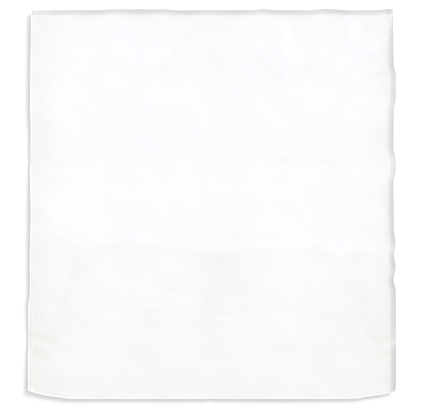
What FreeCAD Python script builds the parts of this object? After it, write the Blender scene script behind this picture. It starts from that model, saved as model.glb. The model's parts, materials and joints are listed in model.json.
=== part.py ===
"""Arm sling: a plain white sling cloth with a narrow hem, opened out flat.

The cloth lies on the XY plane, face up, with its upper edge towards +Y. The origin is on the underside, in the
middle. Four pressed creases cross it from side to side and divide it into five rows, which fold on each other
like a concertina. Millimetres throughout.
"""
import FreeCAD, Part
import os
import Sketcher

ROWS = ("top", "upper", "middle", "lower", "bottom")
SIDES = {"left": -1, "right": 1}

DIMENSIONS = {
    # width of the cloth at its top row, and how much wider the bottom row is than the top one
    "top_width": 896.0,
    "flare": 15.0,
    # length of each row, from crease to crease
    "top_row": 164.0,
    "upper_row": 203.0,
    "middle_row": 225.0,
    "lower_row": 220.0,
    "bottom_row": 150.0,
    # the gap left at each crease, so that the rows turn freely
    "crease_gap": 0.3,
    # the lower corners slope: how far in along the lower edge, and how far up the side
    "corner_run": 104.0,
    "corner_rise": 18.0,
    # one layer of cloth; a hem has two more layers lying on the first
    "cloth_thick": 0.4,
    "hem_width": 11.0,
    "hem_turns": 2.0,
    # the run of stitches: how far from the hem's inner edge, how wide and how proud of it
    "stitch_inset": 1.6,
    "thread_width": 0.6,
    "thread_proud": 0.2,
    # distance of a fold's centre from the face that it closes on
    "fold_radius": 1.8,
}


class Size:
    """A number with the sheet expression that gives it, so that the two can't differ."""

    def __init__(self, value, text):
        self.value = value
        self.text = text

    def _join(self, sign, other, value):
        text = other.text if isinstance(other, Size) else repr(float(other))
        return Size(value, f"({self.text} {sign} {text})")

    def __add__(self, other):
        return self._join("+", other, self.value + number(other))

    def __sub__(self, other):
        return self._join("-", other, self.value - number(other))

    def __mul__(self, other):
        return self._join("*", other, self.value * number(other))


def number(size):
    return size.value if isinstance(size, Size) else float(size)


doc = FreeCAD.newDocument("arm_sling")
sheet = doc.addObject("Spreadsheet::Sheet", "sizes")
for line, (alias, value) in enumerate(DIMENSIONS.items(), start=1):
    sheet.set(f"A{line}", alias.replace("_", " "))
    sheet.set(f"B{line}", str(value))
    sheet.setAlias(f"B{line}", alias)
doc.recompute()


def size(alias):
    return Size(float(sheet.get(alias)), f"sizes.{alias}")


def plate(name, corners, thick, base):
    """A flat body named name: its outline goes round corners, [(x, y), ...], and it stands thick above base."""
    body = doc.addObject("PartDesign::Body", name)
    body.Label = name
    body.Placement = FreeCAD.Placement(FreeCAD.Vector(0, 0, base.value), FreeCAD.Rotation())
    body.setExpression("Placement.Base.z", base.text)
    outline = body.newObject("Sketcher::SketchObject", f"{name}_outline")
    flat_plane = next(f for f in body.Origin.OriginFeatures if f.Role == "XY_Plane")
    outline.AttachmentSupport = [(flat_plane, "")]
    outline.MapMode = "FlatFace"
    points = [FreeCAD.Vector(x.value, y.value, 0) for x, y in corners]
    for i, start in enumerate(points):
        outline.addGeometry(Part.LineSegment(start, points[(i + 1) % len(points)]), False)
    for i, corner in enumerate(corners):
        before = (i - 1) % len(corners)
        outline.addConstraint(Sketcher.Constraint("Coincident", before, 2, i, 1))
        for direction, along in zip(("DistanceX", "DistanceY"), corner):
            held = outline.addConstraint(Sketcher.Constraint(direction, -1, 1, i, 1, along.value))
            outline.setExpression(f"Constraints[{held}]", along.text)
    pad = body.newObject("PartDesign::Pad", f"{name}_pad")
    pad.Profile = outline
    pad.Length = thick.value
    pad.setExpression("Length", thick.text)
    return body


def box_corners(x_low, x_high, y_low, y_high):
    """The four corners of a rectangle."""
    return [(x_low, y_low), (x_high, y_low), (x_high, y_high), (x_low, y_high)]


# The three layers, one on another: cloth from the ground up, hem on the cloth, thread on the hem.
ground = Size(0.0, "0.0")
cloth = size("cloth_thick")
hem = cloth * size("hem_turns")
hem_face = cloth + hem
thread = size("thread_proud")

# Widths of the hem and of its run of stitches, and the slope of the lower corners.
hem_width = size("hem_width")
thread_width = size("thread_width")
inset = size("stitch_inset")
run = size("corner_run")
rise = size("corner_rise")

# Creases and outer edges along Y, from the upper edge down.
lengths = [size(f"{row}_row") for row in ROWS]
total = lengths[0]
for length in lengths[1:]:
    total = total + length
edges = [total * 0.5]
for length in lengths:
    edges.append(edges[-1] - length)

# Half the cloth's width on each row: it widens evenly from the top row to the bottom one.
halves = [
    (size("top_width") + size("flare") * (i / (len(ROWS) - 1))) * 0.5 for i in range(len(ROWS))
]


def row_span(i):
    """Row i's lowest and highest Y, with half the crease gap taken off at each crease."""
    half_gap = size("crease_gap") * 0.5
    low = edges[i + 1] + half_gap if i < len(ROWS) - 1 else edges[i + 1]
    high = edges[i] - half_gap if i > 0 else edges[i]
    return low, high


def lower_line(half, low):
    """The lower edge from side to side: down one sloping corner, straight across, and up the other."""
    return [
        (half * -1, low + rise),
        (half * -1 + run, low),
        (half - run, low),
        (half, low + rise),
    ]


def make_panels():
    """The cloth itself: five panels, the last one with sloping lower corners."""
    for i, row in enumerate(ROWS):
        low, high = row_span(i)
        half = halves[i]
        if row == "bottom":
            corners = lower_line(half, low) + [(half, high), (half * -1, high)]
        else:
            corners = box_corners(half * -1, half, low, high)
        plate(f"panel_{row}", corners, cloth, ground)


def side_strip(side, outer, width, span):
    """The corners of a straight strip on one side, from outer inwards."""
    ends = sorted((outer * side, (outer - width) * side), key=number)
    return box_corners(*ends, *span)


def make_side_hems():
    """A hem strip and its run of stitches on each side of each row, clear of the upper and lower hems."""
    for i, row in enumerate(ROWS):
        low, high = row_span(i)
        if row == "top":
            high = high - hem_width
        if row == "bottom":
            low = low + rise + hem_width
        seam = halves[i] - hem_width + inset + thread_width
        for word, side in SIDES.items():
            hem_corners = side_strip(side, halves[i], hem_width, (low, high))
            plate(f"hem_{word}_{row}", hem_corners, hem, cloth)
            thread_corners = side_strip(side, seam, thread_width, (low, high))
            plate(f"thread_{word}_{row}", thread_corners, thread, hem_face)


def make_upper_hem():
    """The upper edge's hem, the whole width across, and its stitches."""
    half = halves[0]
    high = edges[0]
    plate("hem_top_edge", box_corners(half * -1, half, high - hem_width, high), hem, cloth)
    reach = half - inset
    seam = high - hem_width + inset
    thread_corners = box_corners(reach * -1, reach, seam, seam + thread_width)
    plate("thread_top_edge", thread_corners, thread, hem_face)


def band(half, low, width):
    """An even band along the lower edge and up both its slopes: the lower line, then the upper line back."""
    return lower_line(half, low) + lower_line(half, low + width)[::-1]


def make_lower_hem():
    """The lower edge's hem, which follows the two sloping corners, and its stitches."""
    half = halves[-1]
    low = edges[-1]
    plate("hem_bottom_edge", band(half, low, hem_width), hem, cloth)
    seam = low + hem_width - inset - thread_width
    plate("thread_bottom_edge", band(half - inset, seam, thread_width), thread, hem_face)


make_panels()
make_side_hems()
make_upper_hem()
make_lower_hem()
doc.recompute()

bodies = [o for o in doc.Objects if o.TypeId == "PartDesign::Body"]
for o in doc.Objects:
    if {"Invalid", "Error"} & set(o.State):
        raise RuntimeError(f"{o.Label} failed: {o.State}")
for body in bodies:
    if body.Shape.isNull() or not body.Shape.isValid() or len(body.Shape.Solids) != 1:
        raise RuntimeError(f"{body.Label} is not one valid solid")

os.makedirs("parts", exist_ok=True)
for body in bodies:
    body.Shape.exportStep(f"parts/{body.Label}.step")

# The fold lines: each runs along X. Folds alternate, upwards over the face and downwards under the back.
for i, edge in enumerate(edges[1:-1]):
    upwards = i % 2 == 1
    height = hem_face + size("fold_radius") if upwards else ground - size("fold_radius")
    print(f"fold below row {ROWS[i]}: y {edge.value:.2f}, z {height.value:.2f}")
whole = sum(body.Shape.Volume for body in bodies)
print(f"{len(bodies)} sub-parts, {whole / 1000:.1f} cm3, {2 * halves[-1].value:.0f} x {total.value:.0f} mm")
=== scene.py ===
"""Arm sling: a plain white sling cloth with a narrow hem, opened out flat on a pale floor.

Every piece is worked out on the flat cloth first, with u across it, v up it and w out from its back. lay()
then lays it on the cloth's shape. Blender's lengths are metres. The cloth's relief, its outline and its tone
are worked out in millimetres, and comments say so.
"""
import json
import math

import bpy
import numpy as np
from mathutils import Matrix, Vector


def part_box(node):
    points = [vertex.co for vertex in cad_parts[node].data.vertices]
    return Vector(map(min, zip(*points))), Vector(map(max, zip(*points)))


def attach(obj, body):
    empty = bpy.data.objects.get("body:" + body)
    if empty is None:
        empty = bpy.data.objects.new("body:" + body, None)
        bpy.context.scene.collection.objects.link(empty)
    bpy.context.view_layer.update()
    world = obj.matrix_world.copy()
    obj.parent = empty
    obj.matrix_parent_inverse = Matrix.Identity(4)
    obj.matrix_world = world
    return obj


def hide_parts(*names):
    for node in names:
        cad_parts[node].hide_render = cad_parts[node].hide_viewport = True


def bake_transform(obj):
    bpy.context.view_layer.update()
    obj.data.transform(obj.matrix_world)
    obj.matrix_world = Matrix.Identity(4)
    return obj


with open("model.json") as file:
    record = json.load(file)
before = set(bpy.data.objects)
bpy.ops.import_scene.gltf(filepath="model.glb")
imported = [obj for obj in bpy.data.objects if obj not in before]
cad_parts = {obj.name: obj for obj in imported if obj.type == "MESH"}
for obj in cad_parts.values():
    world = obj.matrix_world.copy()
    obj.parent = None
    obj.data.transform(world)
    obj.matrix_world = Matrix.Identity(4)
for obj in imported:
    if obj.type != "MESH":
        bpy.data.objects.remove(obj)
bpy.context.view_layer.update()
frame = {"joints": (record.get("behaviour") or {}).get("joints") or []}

MM = 0.001

# ---------------------------------------------------------------- sizes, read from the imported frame

ROWS = ("top", "upper", "middle", "lower", "bottom")
JOINTS = {joint["name"]: joint for joint in frame["joints"]}
PANELS = {row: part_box(f"panel_{row}") for row in ROWS}
TOP = PANELS["top"][1].y
BOTTOM = PANELS["bottom"][0].y
PRESSED = 0.7  # an ironed cloth's layers against the nominal ones
CLOTH = PANELS["middle"][1].z * PRESSED
HEM_LOW, HEM_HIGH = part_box("hem_left_middle")
HEM = HEM_HIGH.x - HEM_LOW.x
HEM_FACE = HEM_HIGH.z * PRESSED
LOWER_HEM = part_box("hem_bottom_edge")
RISE = LOWER_HEM[1].y - LOWER_HEM[0].y - HEM
SEAM_LOW, SEAM_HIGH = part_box("thread_right_middle")
SEAM = PANELS["middle"][1].x - (SEAM_LOW.x + SEAM_HIGH.x) / 2
FOLD_V = {name: joint["pos_m"][1] for name, joint in JOINTS.items()}
VALLEYS = [name for name, joint in JOINTS.items() if joint["pos_m"][2] > 0]

# Row centres and half widths, bottom row first, because np.interp wants rising values.
CENTRES = [(PANELS[row][0].y + PANELS[row][1].y) / 2 for row in ROWS[::-1]]
HALVES = [PANELS[row][1].x for row in ROWS[::-1]]
LOWER_HALF = HALVES[0]
MIDDLE_HALF = HALVES[2]
CORNER_RUN = 104 * MM  # how far in along the lower edge each corner's slope runs, as in the CAD
KNEE = 0.10  # softness of the slope's inner end, as a share of its run


def half_width(v):
    """Half the cloth's width at height v."""
    return np.interp(v, CENTRES, HALVES)


def lower_edge(u):
    """v of the cloth's lower edge, which slopes up at both corners."""
    along = (np.abs(u) - (LOWER_HALF - CORNER_RUN)) / CORNER_RUN
    soft = 0.5 * (along + np.sqrt(along**2 + KNEE**2))
    return BOTTOM + RISE * soft


# ---------------------------------------------------------------- curves and waves

WAVE_COUNT = 16
WAVE_SPREAD = 0.7, 1.4  # lowest and highest wave number, as shares of the one asked for
EXP_LIMIT = 40  # keeps np.exp within what a float holds
LINE_POINTS = 10  # points from one knot of a smooth line to the next
FAR = 1e3  # mm, the distance given for places out of a line's reach
TAPER = 0.22, 0.7  # share of a line over which each of its ends fades, and the power it fades with


def waves(u, v, length, seed):
    """Smooth uneven waves about length long, of RMS 1, the same each run. seed picks which waves."""
    rng = np.random.default_rng(seed)
    total = np.zeros_like(u)
    for _ in range(WAVE_COUNT):
        turn = rng.uniform(0, math.pi)
        pull = 2 * math.pi / length * rng.uniform(*WAVE_SPREAD)
        total += np.cos(pull * (u * math.cos(turn) + v * math.sin(turn)) + rng.uniform(0, 2 * math.pi))
    return total * math.sqrt(2 / WAVE_COUNT)


def ripple(along, length, seed):
    """Waves that run one way only."""
    return waves(along, 0 * along, length, seed)


def bump(x):
    """A soft hump: 1 at 0, and nearly 0 past 2."""
    return np.exp(-(x**2))


def rises(x, soft):
    """Rises softly from 0 to 1 as x passes 0. The smaller soft is, the more sudden."""
    return 1 / (1 + np.exp(np.clip(-x / soft, -EXP_LIMIT, EXP_LIMIT)))


def glide(x, knots):
    """Values that run smoothly from knot to knot."""
    places, values = np.array(knots, float).T
    i = np.clip(np.searchsorted(places, x) - 1, 0, len(places) - 2)
    t = np.clip((x - places[i]) / (places[i + 1] - places[i]), 0, 1)
    return values[i] + (values[i + 1] - values[i]) * t * t * (3 - 2 * t)


def smooth_line(knots):
    """Points along a Catmull-Rom curve through knots."""
    knots = np.array(knots, float)
    before = 2 * (knots[0] - knots[1]) + knots[1]
    after = 2 * (knots[-1] - knots[-2]) + knots[-2]
    p = np.array([before, *knots, after])
    t = np.linspace(0, 1, LINE_POINTS, endpoint=False)[:, None]
    found = []
    for i in range(1, len(p) - 2):
        a, b, c, d = p[i - 1], p[i], p[i + 1], p[i + 2]
        second = 2 * a - 5 * b + 4 * c - d
        third = 3 * b - a - 3 * c + d
        found.append(0.5 * (2 * b + (c - a) * t + second * t**2 + third * t**3))
    return np.concatenate([*found, p[-2][None]])


def from_line(u, v, knots, reach):
    """(Signed distance from a smooth line in mm, place along it from 0 to 1), with FAR beyond reach."""
    line = smooth_line(knots)
    apart, place = np.full(u.shape, FAR), np.full(u.shape, 0.5)
    low, high = line.min(0) - reach, line.max(0) + reach
    near = np.flatnonzero((u > low[0]) & (u < high[0]) & (v > low[1]) & (v < high[1]))
    if not len(near):
        return apart, place
    start, step = line[:-1], np.diff(line, axis=0)
    length = np.linalg.norm(step, axis=1)
    before = np.concatenate([[0], np.cumsum(length)[:-1]])
    pu, pv = u[near][:, None] - start[:, 0], v[near][:, None] - start[:, 1]
    t = np.clip((pu * step[:, 0] + pv * step[:, 1]) / length**2, 0, 1)
    gap = np.hypot(pu - t * step[:, 0], pv - t * step[:, 1])
    best = gap.argmin(1)
    rows = np.arange(len(near))
    side = np.sign(step[best, 0] * pv[rows, best] - step[best, 1] * pu[rows, best])
    apart[near] = gap[rows, best] * side
    place[near] = (before[best] + t[rows, best] * length[best]) / length.sum()
    return apart, place


def taper(place):
    """Fades a line in and out at its ends."""
    ends, power = TAPER
    return np.clip(place / ends, 0, 1) ** power * np.clip((1 - place) / ends, 0, 1) ** power


def unit(vectors):
    """The same directions, with every length 1."""
    return vectors / np.linalg.norm(vectors, axis=1)[:, None]


# ---------------------------------------------------------------- the cloth's shape

# The cloth is doubled behind its upper right corner, as far as this line. In mm.
CORNER_TURN = [(449, 540), (445, 480), (439, 443), (429, 410), (403, 381), (359, 359), (322, 336)]

# Soft folds in the cloth: the fold's line in mm from the cloth's middle, its half width in mm, its height in
# mm (negative for a groove), and how much painted light it gets (negative for painted shade).
SOFT_FOLDS = {
    "left_swag": (
        [(-296, 440), (-281, 401), (-264, 364), (-229, 336), (-206, 313), (-164, 309), (-130, 312)],
        15, -0.10, -0.7,
    ),
    "left_swag_arm": (
        [(-150, 306), (-128, 314), (-118, 338), (-98, 359), (-70, 398), (-50, 426)],
        15, -0.10, -1.1,
    ),
    "right_swag": (
        [(60, 410), (78, 388), (100, 361), (127, 344), (154, 322), (176, 300), (192, 283)],
        14, -0.12, -1.0,
    ),
    "right_swag_arm": (
        [(178, 282), (198, 299), (216, 315), (239, 332), (256, 346), (278, 361)],
        14, -0.06, -1.1,
    ),
    "small_swag": ([(190, 462), (199, 438), (216, 411), (234, 393), (264, 372)], 11, -0.06, -0.9),
    "corner_streak": ([(380, 446), (384, 424), (394, 392)], 9, -0.04, -0.7),
    "corner_turn": (CORNER_TURN, 5, 0.2, 1.3),
    "right_ridge": ([(183, 478), (183, 420), (184, 360), (186, 278)], 12, 0.07, 0.5),
    "corner_ridge": ([(342, 478), (342, 440), (340, 380)], 13, 0.10, 0.5),
    "left_slope": (
        [(-326, -108), (-337, -148), (-356, -200), (-368, -248), (-380, -300), (-392, -332)],
        15, -0.10, -0.8,
    ),
    "right_slope": (
        [(336, -110), (346, -148), (366, -200), (373, -248), (380, -298), (392, -332)],
        15, -0.10, -0.8,
    ),
    "left_nip_high": ([(-442, 322), (-428, 324), (-404, 323), (-378, 313)], 7, -0.08, -1.2),
    "right_nip_high": ([(448, 312), (428, 317), (400, 318), (374, 300)], 8, -0.08, -1.4),
    "left_nip_low": (
        [(-475, -314), (-447, -323), (-424, -332), (-398, -338), (-374, -338)],
        10, -0.12, -1.9,
    ),
    "left_nip_lower": ([(-474, -340), (-446, -356), (-426, -370), (-400, -384)], 9, -0.10, -1.6),
    "left_nip_fan": ([(-446, -338), (-424, -350), (-392, -360)], 5, 0.08, 0.7),
    "right_nip_low": ([(478, -326), (441, -332), (411, -337), (382, -328)], 10, -0.06, -2.0),
    "right_nip_lower": ([(470, -352), (441, -366), (425, -374), (395, -377)], 9, -0.06, -1.8),
    "upper_crease_end": ([(262, 110), (290, 102), (316, 88), (344, 84)], 8, -0.03, -0.8),
    "low_crease": ([(-300, -222), (-120, -216), (0, -226), (140, -220), (300, -224)], 5, -0.05, -0.2),
    "lower_crease": ([(-260, -282), (-160, -278), (0, -286), (150, -280), (260, -284)], 4, 0.05, 0.5),
}
FOLD_REACH = 3  # half widths from a soft fold's line at which it has died away

# The pressed creases: depth in mm in the middle of the cloth and at its sides, and half width in mm.
CREASE_DEPTH = {
    "fold_top": (0.01, 0.05),
    "fold_upper": (0.035, 0.07),
    "fold_lower": (0.04, 0.06),
    "fold_bottom": (0.02, 0.08),
}
CREASE_WIDTH = 6.0
SIDES_AT, SIDES_REACH = 450, 80  # mm from the middle at which the sides count fully, and how gradually

# The plainest crease, fold_upper: how far it wanders from its straight line in mm, and how much painted
# shade darkens it, each as (place across, value).
CREASE_WANDER = [(-450, -6), (-360, -6), (-240, -1), (-20, 0), (120, -4), (280, -8), (460, -2)]
CREASE_PAINTED_SHADE = [
    (-450, 2.4), (-330, 0.5), (-220, 1.7), (-130, 1.4), (-15, 0.1), (50, 1.6), (230, 1.8), (300, 0.5),
    (460, 0.5),
]

# The crease down the middle: place across, half width and depth, in mm. It is deeper in one stretch.
MIDDLE_U, MIDDLE_WIDTH = 1, 7
MIDDLE_DEPTH, MIDDLE_DEEPER = 0.03, 0.05
MIDDLE_STRETCH, MIDDLE_STRETCH_REACH = -285, 70

BASE_HEIGHT = 1.05  # mm from the frame's ground to the cloth's back, away from edges and folds
RELIEF_WAVES = [(0.20, 280, 1), (0.06, 95, 2), (0.013, 30, 3)]  # height in mm, length in mm, seed
FLOOR_SOFTNESS = 0.04  # mm2, how softly a hollow levels out before it meets the floor

# The cloth stands off the floor this many mm more at its edges.
RIM_BASE = {"left": 1.8, "right": 0.3, "top": 0.3, "bottom": 1.35}
RIM_BASE_WIDTH = 80.0

# The cloth lies lower beside a fold: by which share of its height, and how far off in mm that reaches.
VALLEY_SETTLES, MOUNTAIN_SETTLES = 0.56, 0.2
SETTLE_REACH = 90


def rim_distance(u, v):
    """How far in from each edge a place is, in mm. u, v in mm."""
    half = half_width(v * MM) / MM
    return {"left": half + u, "right": half - u, "top": TOP / MM - v, "bottom": v - lower_edge(u * MM) / MM}


def crease_path(u, name):
    """How far a pressed crease wanders from its straight line, in mm."""
    if name == "fold_upper":
        return glide(u, CREASE_WANDER) + 3.4 * ripple(u, 62, seed=51) + 1.4 * ripple(u, 24, seed=54)
    lower_right_end = 5.0 * rises(u - 260, 20)
    return 2.2 * ripple(u, 120, seed=5) - lower_right_end


def relief(u, v):
    """Height in mm of the cloth's back over the floor, from u and v in mm."""
    rise = np.full_like(u, BASE_HEIGHT)
    for height, length, seed in RELIEF_WAVES:
        rise += height * waves(u, v, length, seed)
    inward = rim_distance(u, v)
    rims = [height * bump(inward[side] / RIM_BASE_WIDTH) for side, height in RIM_BASE.items()]
    rise += np.maximum.reduce(rims)
    for name, place in FOLD_V.items():
        off = v - place / MM
        valley = name in VALLEYS
        rise *= 1 - (VALLEY_SETTLES if valley else MOUNTAIN_SETTLES) * bump(off / SETTLE_REACH)
        middle, side = CREASE_DEPTH[name]
        depth = middle + (side - middle) * bump((np.abs(u) - SIDES_AT) / SIDES_REACH)
        crease = bump((off - crease_path(u, name)) / CREASE_WIDTH) * (1 + 0.4 * ripple(u, 60, seed=53))
        rise += -depth * crease if valley else depth * crease
    depth = MIDDLE_DEPTH + MIDDLE_DEEPER * bump((v - MIDDLE_STRETCH) / MIDDLE_STRETCH_REACH)
    rise -= depth * bump((u - MIDDLE_U) / MIDDLE_WIDTH)
    for knots, width, height, _ in SOFT_FOLDS.values():
        apart, place = from_line(u, v, knots, FOLD_REACH * width)
        rise += height * bump(apart / width) * taper(place)
    return 0.5 * (rise + np.sqrt(rise**2 + FLOOR_SOFTNESS))


# How the rim stands up along each edge: height and width in mm, and power (higher keeps it nearer the edge).
CURL = {
    "left": (0.8, 3.2, 2.0),
    "right": (2.2, 18.5, 2.5),
    "top": (1.9, 16.5, 2.5),
    "bottom": (0.5, 3.2, 2.0),
}
TIP = 0.75, 4.5, 2  # the same for the last little turn-up of the right and upper edges
CURL_LIMIT = 6  # mm, the most that the rim can rise when two edges' curls meet
OUTSIDE_LIMIT = 1.3  # where a curl stops rising past the edge, in its own widths from its inner side
HEM_PRESSED = 0.47  # mm by which the hem is thinner at its inner edge than at its outer fold
CORNER_ROUNDING, CORNER_REACH = 1.6, 7  # mm by which each corner is drawn in, and how far that reaches
CURL_HUSH_REACH = 26.0  # mm from a fold within which the rim lies flatter
VALLEY_HUSH, MOUNTAIN_HUSH = 0.62, 0.35  # share of the side rims' curl that is gone at a fold

# Where the curl is weaker or stronger than along the rest of its edge: place in mm, and softness in mm.
RIGHT_CURL_ENDS = 445, 11  # above this the right edge is nearly flat
RIGHT_CURL_LEFT = 0.1  # share of the curl that is left there
TOP_CURL_STARTS = -388, 9  # left of this the upper edge is flatter
TOP_CURL_LEFT = 0.3
SLOPES_START = 365, 8  # beyond this on both sides the lower edge slopes and curls more
SLOPES_MORE = 0.8
LOWER_LEFT_FLATTER, LOWER_LEFT_REACH = 0.55, 22  # share of the curl gone at that corner, and reach in mm


def curl(u, v):
    """Extra height in mm of the rim, which stands up a little all round, less beside a fold. u, v in mm."""
    inward = rim_distance(u, v)
    flatter = np.ones_like(v)
    for name, place in FOLD_V.items():
        hush = VALLEY_HUSH if name in VALLEYS else MOUNTAIN_HUSH
        flatter *= 1 - hush * bump((v - place / MM) / CURL_HUSH_REACH)
    ends, soft = RIGHT_CURL_ENDS
    right_share = RIGHT_CURL_LEFT + (1 - RIGHT_CURL_LEFT) * rises(ends - v, soft)
    starts, soft = TOP_CURL_STARTS
    top_share = TOP_CURL_LEFT + (1 - TOP_CURL_LEFT) * rises(u - starts, soft)
    starts, soft = SLOPES_START
    bottom_share = 1 + SLOPES_MORE * rises(np.abs(u) - starts, soft)
    share = {"left": flatter, "right": flatter * right_share, "top": top_share, "bottom": bottom_share}
    low = np.ones_like(u)
    for side, (height, width, power) in CURL.items():
        if side == "right":
            width = width * right_share
        here = height * np.clip(1 - inward[side] / width, 0, OUTSIDE_LIMIT) ** power
        if side in ("top", "right"):
            height, width, power = TIP
            here = here + height * np.clip(1 - inward[side] / width, 0, OUTSIDE_LIMIT) ** power
        low = low * (1 - here * share[side] / CURL_LIMIT)
    corner = bump(np.hypot(inward["left"], inward["bottom"]) / LOWER_LEFT_REACH)
    low = 1 - (1 - low) * (1 - LOWER_LEFT_FLATTER * corner)
    droop = np.zeros_like(u)
    for side in ("left", "bottom"):
        droop = np.maximum(droop, HEM_PRESSED * np.clip(1 - inward[side] / (HEM / MM), 0, 1))
    uneven = 1 + 0.08 * waves(u, v, 110, seed=11)
    return CURL_LIMIT * (1 - low) * uneven - droop


# How far each edge of the real cloth wanders from its straight line, in mm: (place along the edge, wander),
# with outwards positive. The lower edge wanders least, and has a small notch in its middle.
EDGE_WANDER = {
    "left": [
        (-481, -1.5), (-245, -1), (-220, -4.5), (-110, -3.5), (-30, -5), (80, -2), (185, -3), (240, -1),
        (300, -0.5), (460, -1.5),
    ],
    "right": [
        (-481, 0.5), (-340, 1.5), (-215, 2.5), (-185, -2.5), (-155, 3), (-126, -1), (-96, 3), (-60, -0.5),
        (55, -1), (85, 5.5), (110, 5.5), (138, 0), (225, 1), (262, 6.5), (316, 7.5), (350, 2.5), (420, 2),
        (481, 1.5),
    ],
    "top": [
        (-440, -2), (-290, -1), (-240, 1), (-115, 1), (-82, -1.5), (95, -1), (125, 1.5), (160, -1),
        (245, -1.5), (275, 1.5), (305, 1), (333, -1.5), (400, -1.5), (448, 2.5),
    ],
    "bottom": [
        (-455, 0), (-408, 2.5), (-365, 1), (-12, 1), (1, -0.5), (14, 1), (350, 1), (365, 2), (385, 1),
        (415, 2), (455, 0.5),
    ],
}
EDGE_FADE = {"left": 90, "right": 60, "top": 45, "bottom": 45}  # mm inwards over which the wander dies away


def outline_shift(u, v):
    """How far each place moves for the outline to wander as the real one does, in mm. u, v in mm."""
    inward = rim_distance(u, v)
    move = {}
    for side, knots in EDGE_WANDER.items():
        along = u if side in ("top", "bottom") else v
        move[side] = glide(along, knots) * np.exp(-np.maximum(inward[side], 0) / EDGE_FADE[side])
    du, dv = move["right"] - move["left"], move["top"] - move["bottom"]
    for side, across in (("left", 1), ("right", -1)):
        for end, along in (("top", -1), ("bottom", 1)):
            pull = CORNER_ROUNDING * bump(np.hypot(inward[side], inward[end]) / CORNER_REACH)
            du, dv = du + across * pull, dv + along * pull
    return du, dv


def back_point(u, v):
    """The point of the cloth's back at u, v."""
    um, vm = u / MM, v / MM
    du, dv = outline_shift(um, vm)
    return np.stack([um + du, vm + dv, relief(um, vm) + curl(um, vm)], axis=-1) * MM


PROBE = 0.4 * MM  # how far apart points are taken to find which way the cloth faces


def lay(u, v, w):
    """Points at u, v on the flat cloth and w out from its back, laid on the cloth's shape."""
    u, v, w = (np.asarray(x, float).ravel() for x in np.broadcast_arrays(u, v, w))
    at = back_point(u, v)
    across = back_point(u + PROBE, v) - at
    along = back_point(u, v + PROBE) - at
    return at + unit(np.cross(across, along)) * w[:, None]


# ---------------------------------------------------------------- tone of the cloth, with its painted light and shade

# The line below which the cloth is a little greyer, as (u, v) in mm.
TONE_EDGE = [
    (-470, -72), (-389, -78), (-333, -104), (-240, -98), (-98, -99), (-28, -118), (43, -118), (115, -106),
    (200, -112), (256, -106), (313, -126), (370, -118), (434, -133), (470, -134),
]
TONE_BELOW = 3.0  # how much greyer the cloth is below the line
TONE_SOFT, TONE_SOFTER = 2.0, 7  # mm over which it changes, and how many more at the sides
TONE_SIDES = 455  # mm from the middle at which the sides count fully there
# A painted highlight lies just above the line: how much, and how many mm over it.
PAINTED_HIGHLIGHT, PAINTED_HIGHLIGHT_OVER = 0.7, 9  # the cloth is whiter just above the line: how much, and mm over it

# The lowest part of the cloth is greyer in two further steps, in mm from its middle.
FOOT_TONE = 1.9
FOOT_START, FOOT_SOFT = -352, 9
FOOT_SECOND, FOOT_SECOND_LONG = -385, 45

# Painted shade greys the cloth a little towards its two sides: how much, and over how many mm inwards.
MARGIN_SHADE = {"left": (4.4, 62), "right": (3.2, 50)}

# Painted shade where the cloth looks greyer, and painted light where negative: u, v, reach across and
# reach up in mm, and how much.
SHADES = {
    "upper_left_corner": (-390, 430, 70, 70, 3.0),
    "between_the_swags": (-30, 450, 75, 40, 1.8),
    "left_end_of_crease": (-410, 65, 60, 75, 2.0),
    "inside_left_swag": (-165, 372, 50, 40, -1.5),
    "inside_right_swag": (160, 372, 40, 34, -1.4),
    "middle_crease_above": (0, 250, 36, 260, 0.8),
    "creases_cross_below": (-27, 93, 24, 13, 1.8),
    "creases_cross_above": (24, 122, 30, 10, -1.2),
    "middle_crease_start": (0, -150, 60, 60, 1.3),
    "middle_crease_below": (0, -250, 20, 130, 1.8),
    "beside_left_slope": (-340, -175, 30, 60, 0.5),
    "beside_right_slope": (342, -175, 30, 60, 0.9),
    "left_of_middle": (-214, -240, 75, 75, -2.2),
    "right_of_middle": (194, -240, 85, 75, -2.2),
    "left_slope_meets_nip": (-394, -328, 22, 20, 1.4),
    "right_slope_meets_nip": (400, -324, 21, 20, 1.3),
    "left_nips": (-412, -340, 48, 42, 2.2),
    "right_nips": (412, -335, 44, 42, 2.2),
}

# Faint level streaks in the lower middle: how much, and how far across and up from their centre they reach.
STREAK_TONE = 0.45
STREAK_V = -270
STREAK_REACH = 300, 75
STREAK_LONG = 0.12  # how much slower they change along than across

# Painted light on the inner side of CORNER_TURN: how much, and over how many mm.
CORNER_LIGHT, CORNER_LIGHT_REACH = 1.6, 50
# Half width in mm of the painted shade along the fold_upper crease.
CREASE_PAINTED_SHADE_WIDTH = 10  # mm
# Painted light and shade along the soft folds: its tone steps, and how much narrower it is than the fold.
SOFT_FOLD_LIGHT_AND_SHADE = 2.2  # tone steps for a soft fold whose tone is 1
SOFT_FOLD_NARROWED = 0.8  # a soft fold's tone is this much narrower than its shape


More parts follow.
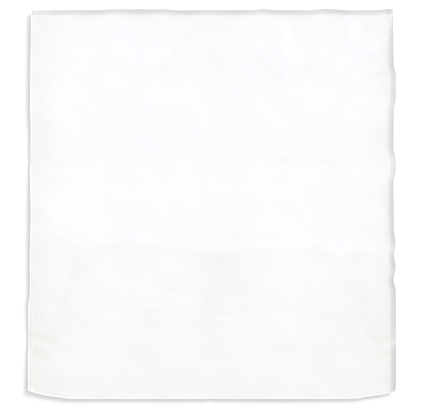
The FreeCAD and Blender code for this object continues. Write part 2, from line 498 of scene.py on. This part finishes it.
def tone(u, v):
    """How grey the cloth is at u and v in metres, 0 for the whitest: its uneven whiteness and its painted
    shade and light.
    """
    u, v = u / MM, v / MM
    edge_u, edge_v = np.array(TONE_EDGE, float).T
    edge = np.interp(u, edge_u, edge_v) + 1.2 * ripple(u, 24, seed=31) + 2.5 * ripple(u, 70, seed=34)
    over = v - edge
    soft = TONE_SOFT + TONE_SOFTER * bump((np.abs(u) - TONE_SIDES) / SIDES_REACH)
    # Greyer below the line, with the painted highlight just above it.
    grey = TONE_BELOW * rises(-over, soft) - PAINTED_HIGHLIGHT * bump((over - PAINTED_HIGHLIGHT_OVER) / PAINTED_HIGHLIGHT_OVER)
    second = np.clip((FOOT_SECOND - v) / FOOT_SECOND_LONG, 0, 1)
    grey += FOOT_TONE * rises(FOOT_START - v, FOOT_SOFT) + FOOT_TONE * second
    grey += 0.30 * waves(u, v, 120, seed=32) + 0.18 * waves(u, v, 36, seed=33)
    inward = rim_distance(u, v)
    # Painted shade towards the two sides.
    for side, (strength, width) in MARGIN_SHADE.items():
        grey += strength * bump(inward[side] / width)
    # Painted shade, and painted light where negative.
    for at_u, at_v, wide, high, strength in SHADES.values():
        grey += strength * bump((u - at_u) / wide) * bump((v - at_v) / high)
    streaks = STREAK_TONE * waves(STREAK_LONG * u, v, 15, seed=35)
    grey += streaks * bump(u / STREAK_REACH[0]) * bump((v - STREAK_V) / STREAK_REACH[1])
    # Painted shade along the fold_upper crease.
    crease = bump((v - FOLD_V["fold_upper"] / MM - crease_path(u, "fold_upper")) / CREASE_PAINTED_SHADE_WIDTH)
    grey += glide(u, CREASE_PAINTED_SHADE) * crease * np.clip(1 + 0.3 * ripple(u, 40, seed=52), 0.3, 1.8)
    # Painted light on the inner side of the turned corner.
    apart, place = from_line(u, v, CORNER_TURN, 130)
    grey -= CORNER_LIGHT * bump(apart / CORNER_LIGHT_REACH) * (apart < 0) * taper(place)
    # Painted light and shade along the soft folds.
    for knots, width, _, strength in SOFT_FOLDS.values():
        apart, place = from_line(u, v, knots, FOLD_REACH * width)
        grey -= SOFT_FOLD_LIGHT_AND_SHADE * strength * bump(apart / (SOFT_FOLD_NARROWED * width)) * taper(place)
    return grey


# ---------------------------------------------------------------- mesh helpers

SHARP = math.radians(50)  # edges more bent than this are drawn sharp
COARSE = 4.2 * MM  # step between points on the open cloth
RIM_STEP = 1.5 * MM  # the same at the edges and the middle crease
FOLD_STEP = 0.32 * MM  # the same at a fold
BEND_REACH = 3.6 * MM  # rows of points are finest this near to a fold
RIM_REACH = 18 * MM  # points are finest this near to an edge
MIDDLE_REACH = 8 * MM  # and this near to the middle crease


def new_mesh(name, points, faces, uv, material, grey=None):
    """A smooth mesh with flat-cloth coordinates in mm as its UV map, and its tone as an attribute."""
    mesh = bpy.data.meshes.new(name)
    mesh.from_pydata(points.tolist(), [], faces)
    mesh.update()
    corners = np.zeros(len(mesh.loops), np.int32)
    mesh.loops.foreach_get("vertex_index", corners)
    layer = mesh.uv_layers.new(name="flat_cloth")
    layer.data.foreach_set("uv", (uv / MM)[corners].astype(np.float32).ravel())
    if grey is not None:
        shade = mesh.attributes.new("tone", "FLOAT", "POINT")
        shade.data.foreach_set("value", grey.astype(np.float32))
    mesh.shade_smooth()
    mesh.set_sharp_from_angle(angle=SHARP)
    mesh.materials.append(material)
    made = bpy.data.objects.new(name, mesh)
    bpy.context.scene.collection.objects.link(made)
    return made


def outward(made):
    """Turns a closed piece's faces outwards, if its volume says that they point in."""
    mesh = made.data
    mesh.calc_loop_triangles()
    total = 0.0
    for tri in mesh.loop_triangles:
        a, b, c = (mesh.vertices[i].co for i in tri.vertices)
        total += a.dot(b.cross(c))
    if total < 0:
        mesh.flip_normals()
    return made


def grid_faces(rows, columns, first, flip):
    """Quads over a rows by columns grid of points."""
    a = first + (np.arange(rows - 1)[:, None] * columns + np.arange(columns - 1)).ravel()
    quads = np.stack([a, a + 1, a + columns + 1, a + columns], axis=1)
    return quads[:, ::-1] if flip else quads


def stepped(low, high, step_at):
    """Places from low to high, about step_at(place) apart."""
    fine = np.linspace(low, high, 4000)
    count = np.concatenate([[0], np.cumsum(np.diff(fine) / step_at((fine[1:] + fine[:-1]) / 2))])
    return np.interp(np.linspace(0, count[-1], max(3, int(round(count[-1])) + 1)), count, fine)


def widening(finest, growth, distance, reach):
    """A step that is finest within reach and then grows with distance."""
    return finest + growth * np.maximum(0, distance - reach)


def row_step(v):
    """Step between rows of points: fine at folds and at the upper and lower edges."""
    step = np.full_like(v, COARSE)
    for place in FOLD_V.values():
        step = np.minimum(step, widening(FOLD_STEP, 0.22, np.abs(v - place), BEND_REACH))
    return np.minimum(step, widening(RIM_STEP, 0.2, np.minimum(TOP - v, v - BOTTOM), RIM_REACH))


def column_step(u):
    """Step between columns of points: fine at both sides and at the middle crease."""
    step = np.minimum(COARSE, widening(RIM_STEP, 0.2, MIDDLE_HALF - np.abs(u), RIM_REACH))
    return np.minimum(step, widening(RIM_STEP, 0.25, np.abs(u - MIDDLE_U * MM), MIDDLE_REACH))


COLUMNS = stepped(-MIDDLE_HALF, MIDDLE_HALF, column_step) / MIDDLE_HALF

# The four lengths of cloth, from the top down: name, the fold it bends at, and the rows below and above that.
LENGTHS = ("top", "upper", "lower", "bottom")
SPANS = [(word, f"fold_{word}", below, above) for word, below, above in zip(LENGTHS, ROWS[1:], ROWS[:-1])]
BREAKS = [TOP, *CENTRES[::-1][1:-1], BOTTOM]  # one length ends and the next begins in the middle of a row


def bend(piece, fold, below, above):
    """Bakes a piece's placement into its mesh; fold, below and above are not used."""
    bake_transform(piece)


# ---------------------------------------------------------------- materials

YARN_PITCH = 0.46  # mm from one yarn to the next
WHITE = (0.859, 0.867, 0.892, 1)
GREY = (0.732, 0.752, 0.706, 1)
GREY_SPAN = 17.0  # tone steps from WHITE to GREY
GREY_START = 2.0  # tone steps from WHITE to the cloth's whitest
THREAD_DARK = (0.80, 0.81, 0.815, 1)
THREAD_LIGHT = (0.87, 0.88, 0.885, 1)


class Nodes:
    """Short names for building one material's nodes."""

    def __init__(self, name):
        self.material = bpy.data.materials.new(name)
        self.material.use_nodes = True
        self.tree = self.material.node_tree
        self.shader = self.tree.nodes["Principled BSDF"]
        self.uv = self.add("ShaderNodeUVMap", uv_map="flat_cloth").outputs["UV"]

    def add(self, kind, **values):
        """A new node with the given settings."""
        node = self.tree.nodes.new(kind)
        for key, value in values.items():
            setattr(node, key, value)
        return node

    def link(self, out, into):
        self.tree.links.new(out, into)

    def set(self, **values):
        """Plain values on the shader's sockets, with _ for each space in a socket's name."""
        for key, value in values.items():
            self.shader.inputs[key.replace("_", " ")].default_value = value

    def calc(self, operation, a, b=None):
        """One step of arithmetic on sockets or numbers."""
        node = self.add("ShaderNodeMath", operation=operation)
        for socket, value in zip(node.inputs, (a, b)):
            if value is None:
                continue
            if isinstance(value, (int, float)):
                socket.default_value = value
            else:
                self.link(value, socket)
        return node.outputs[0]

    def noise(self, scale, detail=2.0, stretch=(1, 1, 1)):
        """Noise over the flat cloth, with grains about 1 / scale mm long, divided by stretch."""
        mapping = self.add("ShaderNodeMapping")
        mapping.inputs["Scale"].default_value = [scale * s for s in stretch]
        self.link(self.uv, mapping.inputs["Vector"])
        node = self.add("ShaderNodeTexNoise")
        node.inputs["Scale"].default_value = 1.0
        node.inputs["Detail"].default_value = detail
        self.link(mapping.outputs["Vector"], node.inputs["Vector"])
        return node.outputs["Fac"]

    def roughen(self, height, strength, distance):
        """Fine relief on the shader's normal."""
        node = self.add("ShaderNodeBump")
        node.inputs["Strength"].default_value = strength
        node.inputs["Distance"].default_value = distance
        self.link(height, node.inputs["Height"])
        self.link(node.outputs["Normal"], self.shader.inputs["Normal"])

    def colour(self, share, first, second):
        """The shader's colour, from first where share is 0 to second where it is 1."""
        ramp = self.add("ShaderNodeMix", data_type="RGBA")
        ramp.inputs["A"].default_value = first
        ramp.inputs["B"].default_value = second
        self.link(share, ramp.inputs["Factor"])
        self.link(ramp.outputs["Result"], self.shader.inputs["Base Color"])


def cloth_material(name, lift=0.0):
    """Bleached cotton muslin: plain weave, uneven yarns, a faint sheen, and slightly uneven whiteness with
    painted shade and light on it; lift paints it that many tone steps whiter.
    """
    n = Nodes(name)
    split = n.add("ShaderNodeSeparateXYZ")
    n.link(n.uv, split.inputs[0])
    pull = math.pi / YARN_PITCH
    sway = n.calc("MULTIPLY", n.noise(0.12), 2.2)
    across = n.calc("SINE", n.calc("ADD", n.calc("MULTIPLY", split.outputs["X"], pull), sway))
    along = n.calc("SINE", n.calc("ADD", n.calc("MULTIPLY", split.outputs["Y"], pull), sway))
    weave = n.calc("MULTIPLY", across, along)
    slub_across = n.noise(1.0, stretch=(0.035, 1.1, 1))
    slub_along = n.noise(1.0, stretch=(1.1, 0.03, 1))
    slubs = n.calc("ADD", slub_across, slub_along)
    fuzz = n.noise(2.4, detail=3.0)

    height = n.calc("ADD", n.calc("MULTIPLY", weave, 0.35), n.calc("MULTIPLY", slubs, 1.1))
    height = n.calc("ADD", height, n.calc("MULTIPLY", fuzz, 0.5))
    n.roughen(height, 0.35, 0.06 * MM)

    # The tone attribute: the cloth's uneven whiteness, with painted shade and light on it.
    grey = n.add("ShaderNodeAttribute", attribute_name="tone").outputs["Fac"]
    yarn = n.calc("MULTIPLY", n.calc("SUBTRACT", slubs, 1.0), 1.6)
    total = n.calc("ADD", n.calc("ADD", grey, yarn), GREY_START - lift)
    n.colour(n.calc("DIVIDE", total, GREY_SPAN), WHITE, GREY)
    n.link(n.calc("ADD", 0.86, n.calc("MULTIPLY", fuzz, 0.12)), n.shader.inputs["Roughness"])
    n.set(Specular_IOR_Level=0.18, Sheen_Weight=0.06, Sheen_Roughness=0.5)
    return n.material


def thread_material():
    """White spun cotton sewing thread: two twisted strands, a little glossier than the cloth."""
    n = Nodes("sewing_thread")
    twist = n.add("ShaderNodeTexWave", wave_type="BANDS", bands_direction="DIAGONAL")
    twist.inputs["Scale"].default_value = 0.9
    twist.inputs["Distortion"].default_value = 0.6
    n.link(n.uv, twist.inputs["Vector"])
    n.roughen(twist.outputs["Fac"], 0.5, 0.05 * MM)
    n.colour(twist.outputs["Fac"], THREAD_DARK, THREAD_LIGHT)
    n.set(Roughness=0.62, Sheen_Weight=0.1)
    return n.material


MUSLIN = cloth_material("bleached_muslin")
# The hem's copy of the muslin is painted 0.4 tone steps whiter: painted light.
MUSLIN_HEM = cloth_material("bleached_muslin_hem", lift=0.4)
THREAD = thread_material()


# ---------------------------------------------------------------- the cloth

WRAPPED = 0.35 * MM  # the hem wraps this much of the cloth's edge
SETTLE_START = 30 * MM  # how far below the lowest fold the rows start to follow the sloping lower edge


def cloth_piece(index, name):
    """One closed thin piece of the cloth between two breaks, fine where it bends."""
    high, low = BREAKS[index], BREAKS[index + 1]
    rows = stepped(low, high, row_step)
    u = COLUMNS[None, :] * half_width(rows)[:, None]
    v = np.repeat(rows[:, None], len(COLUMNS), axis=1)
    if low == BOTTOM:
        start = FOLD_V["fold_bottom"] - SETTLE_START
        share = np.clip((start - v) / (start - BOTTOM), 0, 1)
        v = v + (lower_edge(u) - BOTTOM) * share
    u = np.clip(u, -half_width(v) + WRAPPED, half_width(v) - WRAPPED)
    v = np.minimum(v, TOP - WRAPPED)
    v = np.maximum(v, lower_edge(u) + WRAPPED)
    back, face = lay(u, v, 0), lay(u, v, CLOTH)
    count, width = len(rows), len(COLUMNS)
    loop = np.concatenate([
        np.arange(width),
        np.arange(1, count) * width + width - 1,
        (count - 1) * width + np.arange(width - 2, -1, -1),
        np.arange(count - 2, 0, -1) * width,
    ])
    after = np.roll(loop, -1)
    shift = count * width
    wall = np.stack([loop, after, after + shift, loop + shift], axis=1)
    faces = [grid_faces(count, width, 0, True), grid_faces(count, width, shift, False), wall]
    points = np.concatenate([back, face])
    uv = np.stack([u.ravel(), v.ravel()], axis=1)
    grey = tone(u.ravel(), v.ravel())
    both = np.concatenate([uv, uv]), MUSLIN, np.concatenate([grey, grey])
    return new_mesh(name, points, np.concatenate(faces).tolist(), *both)


# ---------------------------------------------------------------- the hem

HEM_BURIED = 0.45 * CLOTH  # w of the hem's underside, which is sunk in the cloth
HEM_STEP = 1.9 * MM
PUCKER = 9.0  # mm from one pucker of the hem to the next
OUTER_POINTS = 9  # points round the outer fold
OUTER_FLATTENED = 0.8  # the outer fold's width as a share of its height
OUTER_END = 1.5  # mm in from the edge, where the hem starts to thin
TOP_STATIONS = (1.5, 2.6, 4.0, 5.6, 7.2, 8.2, 8.8, 9.2, 9.8, 10.4)  # mm in from the edge, closest at the seam
SEAM_DIP, SEAM_DIP_REACH = 0.08, 0.7  # mm by which the stitches pull the hem in, and how far that reaches
INNER_ROUND = 0.2 * MM
# Where the upper and lower hems lie over the side hems: reach in from the side, step there, and softness.
OVERLAP_REACH, OVERLAP_STEP, OVERLAP_SOFT = 16 * MM, 0.8 * MM, 0.7 * MM


def hem_section():
    """(q, w) points round the hem, q in from the cloth's edge and w out from its back.

    They start under the outer fold and go round it, over the top with its dip at the seam, down the pressed
    inner edge and back underneath.
    """
    radius = HEM_FACE / 2
    across = radius * OUTER_FLATTENED
    points = []
    for turn in np.linspace(-90, -270, OUTER_POINTS):
        a = math.radians(turn)
        points.append((across + across * math.cos(a), radius + radius * math.sin(a)))
    for q in TOP_STATIONS:
        dip = SEAM_DIP * bump((q - SEAM / MM) / SEAM_DIP_REACH)
        pressed = HEM_PRESSED * max(0.0, q - OUTER_END) / (HEM / MM - OUTER_END)
        points.append((q * MM, HEM_FACE - (pressed + dip) * MM))
    points.append((HEM - INNER_ROUND, HEM_FACE - (HEM_PRESSED + 0.02) * MM))
    points.append((HEM, CLOTH + 0.03 * MM))
    points.append((HEM + 0.05 * MM, CLOTH - 0.03 * MM))
    points.append((HEM, HEM_BURIED))
    points.append((HEM / 2, HEM_BURIED))
    points.append((across, HEM_BURIED))
    return np.array(points)


SECTION = hem_section()
SECTION_TOP = SECTION[OUTER_POINTS : OUTER_POINTS + len(TOP_STATIONS) + 1]
SEAM_FACE = float(np.interp(SEAM, SECTION_TOP[:, 0], SECTION_TOP[:, 1]))  # w of the hem's face at the seam


def hem_band(name, steps, spot, grey, lift=None):
    """A closed hem band along steps, places in metres. spot(place, q) gives u and v, and lift adds to w."""
    count, around = len(steps), len(SECTION)
    place = np.repeat(steps[:, None], around, axis=1)
    q = np.repeat(SECTION[None, :, 0], count, axis=0)
    w = np.repeat(SECTION[None, :, 1], count, axis=0)
    outside = np.clip((w - CLOTH) / (HEM_FACE - CLOTH), 0, 1)
    slant = place / MM / PUCKER + q / HEM * 0.8
    puckers = np.sin(2 * math.pi * slant + 1.3 * ripple(place / MM, 60, seed=41))
    depth = 0.07 + 0.05 * ripple(place / MM, 45, seed=42)
    w = w + outside * depth * puckers * MM
    if lift is not None:
        w = w + lift(place) * np.where(w > CLOTH * 0.9, 1.0, 0.0)
    u, v = spot(place, q)
    faces = []
    ring = np.arange(around)
    for i in range(count - 1):
        a = i * around + ring
        b = i * around + (ring + 1) % around
        faces += np.stack([a, b, b + around, a + around], axis=1).tolist()
    faces.append(list(range(around))[::-1])
    faces.append(list(range((count - 1) * around, count * around)))
    uv = np.stack([u.ravel(), v.ravel()], axis=1)
    shade = tone(u.ravel(), v.ravel()) + grey
    return outward(new_mesh(name, lay(u, v, w), faces, uv, MUSLIN_HEM, shade))


def side_hem(side, index, name):
    """The hem on one side between two breaks. side is -1 for left and 1 for right."""
    high, low = BREAKS[index], BREAKS[index + 1]
    if low == BOTTOM:
        low = float(lower_edge(np.array(LOWER_HALF)))
    fold = FOLD_V[f"fold_{LENGTHS[index]}"]

    def step_at(v):
        return np.minimum(HEM_STEP, widening(FOLD_STEP, 0.25, np.abs(v - fold), BEND_REACH))

    def spot(v, q):
        return side * (half_width(v) - q), v

    # Painted shade on the left hem and painted light on the right one, evening out how the low lamp lights
    # the two sides.
    return hem_band(name, stepped(low, high, step_at), spot, 0.55 - 0.95 * side)


def corner_lift(half):
    """The upper and lower hems lie over the side hems' ends: two layers higher on the last stretch."""
    layers = HEM_FACE - CLOTH

    def lift(u):
        return layers * rises(np.abs(u) - (half - HEM), OVERLAP_SOFT)

    return lift


def edge_hem(name, half, spot, grey):
    """The hem along the upper or the lower edge."""

    def step_at(u):
        return np.where(half - np.abs(u) < OVERLAP_REACH, OVERLAP_STEP, HEM_STEP)

    return hem_band(name, stepped(-half, half, step_at), spot, grey, corner_lift(half))


# ---------------------------------------------------------------- the stitches

STITCH_PITCH = 2.8 * MM
STITCH_LONG = 2.3 * MM
STITCH_WIDE = 0.46 * MM
STITCH_TALL = 0.17 * MM
SHIFT_UNEVEN = 0.06 * MM  # how unevenly stitches are placed, as a standard deviation
LONG_UNEVEN = 0.04  # the same for their length, as a share of it
SLANT_UNEVEN = 0.05  # the same for their slant
BACK_SUNK = 0.02 * MM  # how far the middles of the stitches on the back lie below it
SEAM_ENDS = 3 * MM  # the upper and lower seams stop this far from the cloth's sides
AHEAD, OUT = 0.3 * MM, 0.5 * MM  # how far off points are taken to find which way the seam and the cloth go
# A stitch's form at six places along it: share of its length, share of its thickness, and height.
ALONG = np.array([-0.5, -0.42, -0.2, 0.2, 0.42, 0.5])
FULLNESS = np.array([0.25, 0.8, 1.0, 1.0, 0.8, 0.25])
SINK = np.array([-0.9, 0.0, 0.75, 0.75, 0.0, -0.9])
ROUND = np.linspace(0, 2 * math.pi, 7)[:-1]


def stitch_faces(first):
    """Faces of one stitch whose points start at first: rings of quads and two ends."""
    n = len(ROUND)
    faces = []
    for ring in range(len(ALONG) - 1):
        for k in range(n):
            a, b = first + ring * n + k, first + ring * n + (k + 1) % n
            faces.append((a, b, b + n, a + n))
    faces.append(tuple(first + k for k in range(n))[::-1])
    faces.append(tuple(first + (len(ALONG) - 1) * n + k for k in range(n)))
    return faces


def stitch_run(name, places, spot, top, seed):
    """Single stitches along a seam, on the hem's face and on the cloth's back, as one piece."""
    rng = np.random.default_rng(seed)
    points, faces, flat = [], [], []
    for under in (False, True):
        at = places + (STITCH_PITCH / 2 if under else 0) + rng.normal(0, SHIFT_UNEVEN, len(places))
        long = STITCH_LONG * (1 + rng.normal(0, LONG_UNEVEN, len(places)))
        height = np.full(len(places), -BACK_SUNK) if under else top(places)
        u, v = spot(at)
        centre = lay(u, v, height)
        ahead = unit(lay(*spot(at + AHEAD), height) - centre)
        outer = unit(lay(u, v, height + OUT) - centre)
        if under:
            outer = -outer
        beside = np.cross(outer, ahead)
        slant = rng.normal(0, SLANT_UNEVEN, len(places))
        for i in range(len(places)):
            faces += stitch_faces(len(points))
            for share, full, sink in zip(ALONG, FULLNESS, SINK):
                spine = centre[i] + ahead[i] * long[i] * share + outer[i] * STITCH_TALL * sink
                spine = spine + beside[i] * long[i] * share * slant[i]
                for turn in ROUND:
                    sideways = beside[i] * math.cos(turn) * STITCH_WIDE / 2 * full
                    points.append(spine + sideways + outer[i] * math.sin(turn) * STITCH_TALL * full)
                    flat.append((u[i] + share * long[i], v[i] + share * long[i]))
    return outward(new_mesh(name, np.array(points), faces, np.array(flat), THREAD))


def seam_places(low, high):
    """The middles of the stitches from low to high, a pitch apart."""
    count = int((high - low) / STITCH_PITCH)
    return low + (np.arange(count) + 0.5) * (high - low) / count


def side_stitches(side, index, name):
    """The stitches on one side between two breaks. side is -1 for left and 1 for right."""
    high, low = BREAKS[index], BREAKS[index + 1]
    if low == BOTTOM:
        low = float(lower_edge(np.array(LOWER_HALF - SEAM))) + HEM
    if high == TOP:
        high = TOP - HEM
    places = seam_places(low, high - STITCH_PITCH / 2)

    def spot(v):
        return side * (half_width(v) - SEAM), v

    return stitch_run(name, places, spot, lambda v: np.full(len(v), SEAM_FACE), 50 + index)


def edge_stitches(name, half, spot, seed):
    """The stitches along the upper or the lower edge."""
    places = seam_places(-half + SEAM_ENDS, half - SEAM_ENDS)
    lift = corner_lift(half)
    return stitch_run(name, places, lambda u: spot(u, SEAM), lambda u: SEAM_FACE + lift(u), seed)


# ---------------------------------------------------------------- putting the sling together


def upper_spot(u, q):
    """The place q in from the upper edge."""
    return u, TOP - q + 0 * u


def lower_spot(u, q):
    """The place q in from the lower edge."""
    return u, lower_edge(u) + q


# The two lengths that end at an edge: half its width, its places, its hem's painted shade and its seam's
# seed.
EDGES = {
    "top": (float(half_width(TOP)), upper_spot, 0.3, 61),
    "bottom": (LOWER_HALF, lower_spot, 0.7, 62),
}

for index, (word, fold, below, above) in enumerate(SPANS):
    rows = (below, above)
    bodies = [f"row_{row}" for row in rows]
    cloth = cloth_piece(index, f"cloth_{word}")
    bend(cloth, fold, *bodies)
    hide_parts(*(f"panel_{row}" for row in rows))
    trims = []
    for side_word, side in (("left", -1), ("right", 1)):
        hem = side_hem(side, index, f"hem_{side_word}_{word}_turned")
        bend(hem, fold, *bodies)
        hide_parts(*(f"hem_{side_word}_{row}" for row in rows))
        thread = side_stitches(side, index, f"stitches_{side_word}_{word}")
        bend(thread, fold, *bodies)
        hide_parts(*(f"thread_{side_word}_{row}" for row in rows))
        trims += [hem, thread]
    if word in EDGES:
        half, spot, grey, seed = EDGES[word]
        hem = edge_hem(f"hem_{word}_edge_turned", half, spot, grey)
        thread = edge_stitches(f"stitches_{word}_edge", half, spot, seed)
        body = f"row_{word}"
        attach(hem, body)
        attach(thread, body)
        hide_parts(f"hem_{word}_edge")
        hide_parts(f"thread_{word}_edge")
        trims += [hem, thread]


# ---------------------------------------------------------------- floor, light and camera

FLOOR_REACH = 12.0
FLOOR_HEIGHT = -0.15 * MM  # just below the frame's ground
FLOOR_WHITE = (0.93, 0.93, 0.93, 1)
PURE_WHITE = (1.0, 1.0, 1.0, 1)
SKY = 0.80
SEEN_SKY = 1.05  # strength of the white that the camera sees past the floor
KEY_SHARE = 0.34
KEY_ELEVATION = 11.5
KEY_AZIMUTH = 45.0  # from +X towards +Y
KEY_SOFTNESS = 20.0
CAMERA_HEIGHT = 3.6
VIEW_WIDTH = 1.0632
VIEW_CENTRE = 8.7 * MM, -10.9 * MM
SENSOR = 36.0


def floor_material():
    """Matt white without any gloss."""
    material = bpy.data.materials.new("floor_white")
    material.use_nodes = True
    shader = material.node_tree.nodes["Principled BSDF"]
    shader.inputs["Base Color"].default_value = FLOOR_WHITE
    shader.inputs["Roughness"].default_value = 1.0
    shader.inputs["Specular IOR Level"].default_value = 0.0
    return material


mesh = bpy.data.meshes.new("floor")
corners = [(x * FLOOR_REACH, y * FLOOR_REACH, FLOOR_HEIGHT) for x, y in ((-1, -1), (1, -1), (1, 1), (-1, 1))]
mesh.from_pydata(corners, [], [(0, 1, 2, 3)])
mesh.materials.append(floor_material())
floor = bpy.data.objects.new("floor", mesh)
bpy.context.scene.collection.objects.link(floor)

# The sky lights the cloth evenly, and the camera sees a brighter white past the floor.
world = bpy.data.worlds.new("studio")
bpy.context.scene.world = world
world.use_nodes = True
tree = world.node_tree
lit = tree.nodes["Background"]
lit.inputs["Color"].default_value = PURE_WHITE
lit.inputs["Strength"].default_value = SKY
seen = tree.nodes.new("ShaderNodeBackground")
seen.inputs["Color"].default_value = PURE_WHITE
seen.inputs["Strength"].default_value = SEEN_SKY
which = tree.nodes.new("ShaderNodeMixShader")
rays = tree.nodes.new("ShaderNodeLightPath")
tree.links.new(rays.outputs["Is Camera Ray"], which.inputs["Fac"])
tree.links.new(lit.outputs[0], which.inputs[1])
tree.links.new(seen.outputs[0], which.inputs[2])
tree.links.new(which.outputs[0], tree.nodes["World Output"].inputs["Surface"])

# A low soft lamp from the upper right, which brings out the relief.
key = bpy.data.lights.new("key", "SUN")
key.angle = math.radians(KEY_SOFTNESS)
key.energy = KEY_SHARE * math.pi / math.sin(math.radians(KEY_ELEVATION))
key_lamp = bpy.data.objects.new("key", key)
key_lamp.rotation_euler = (0, math.radians(90 - KEY_ELEVATION), math.radians(KEY_AZIMUTH))
bpy.context.scene.collection.objects.link(key_lamp)

# Straight down on the cloth, from far off, as if the cloth were seen square on.
camera_data = bpy.data.cameras.new("camera")
camera_data.sensor_width = SENSOR
camera_data.lens = SENSOR * CAMERA_HEIGHT / VIEW_WIDTH
camera = bpy.data.objects.new("camera", camera_data)
camera.location = (*VIEW_CENTRE, CAMERA_HEIGHT)
bpy.context.scene.collection.objects.link(camera)
bpy.context.scene.camera = camera
bpy.context.scene.view_settings.view_transform = "Standard"
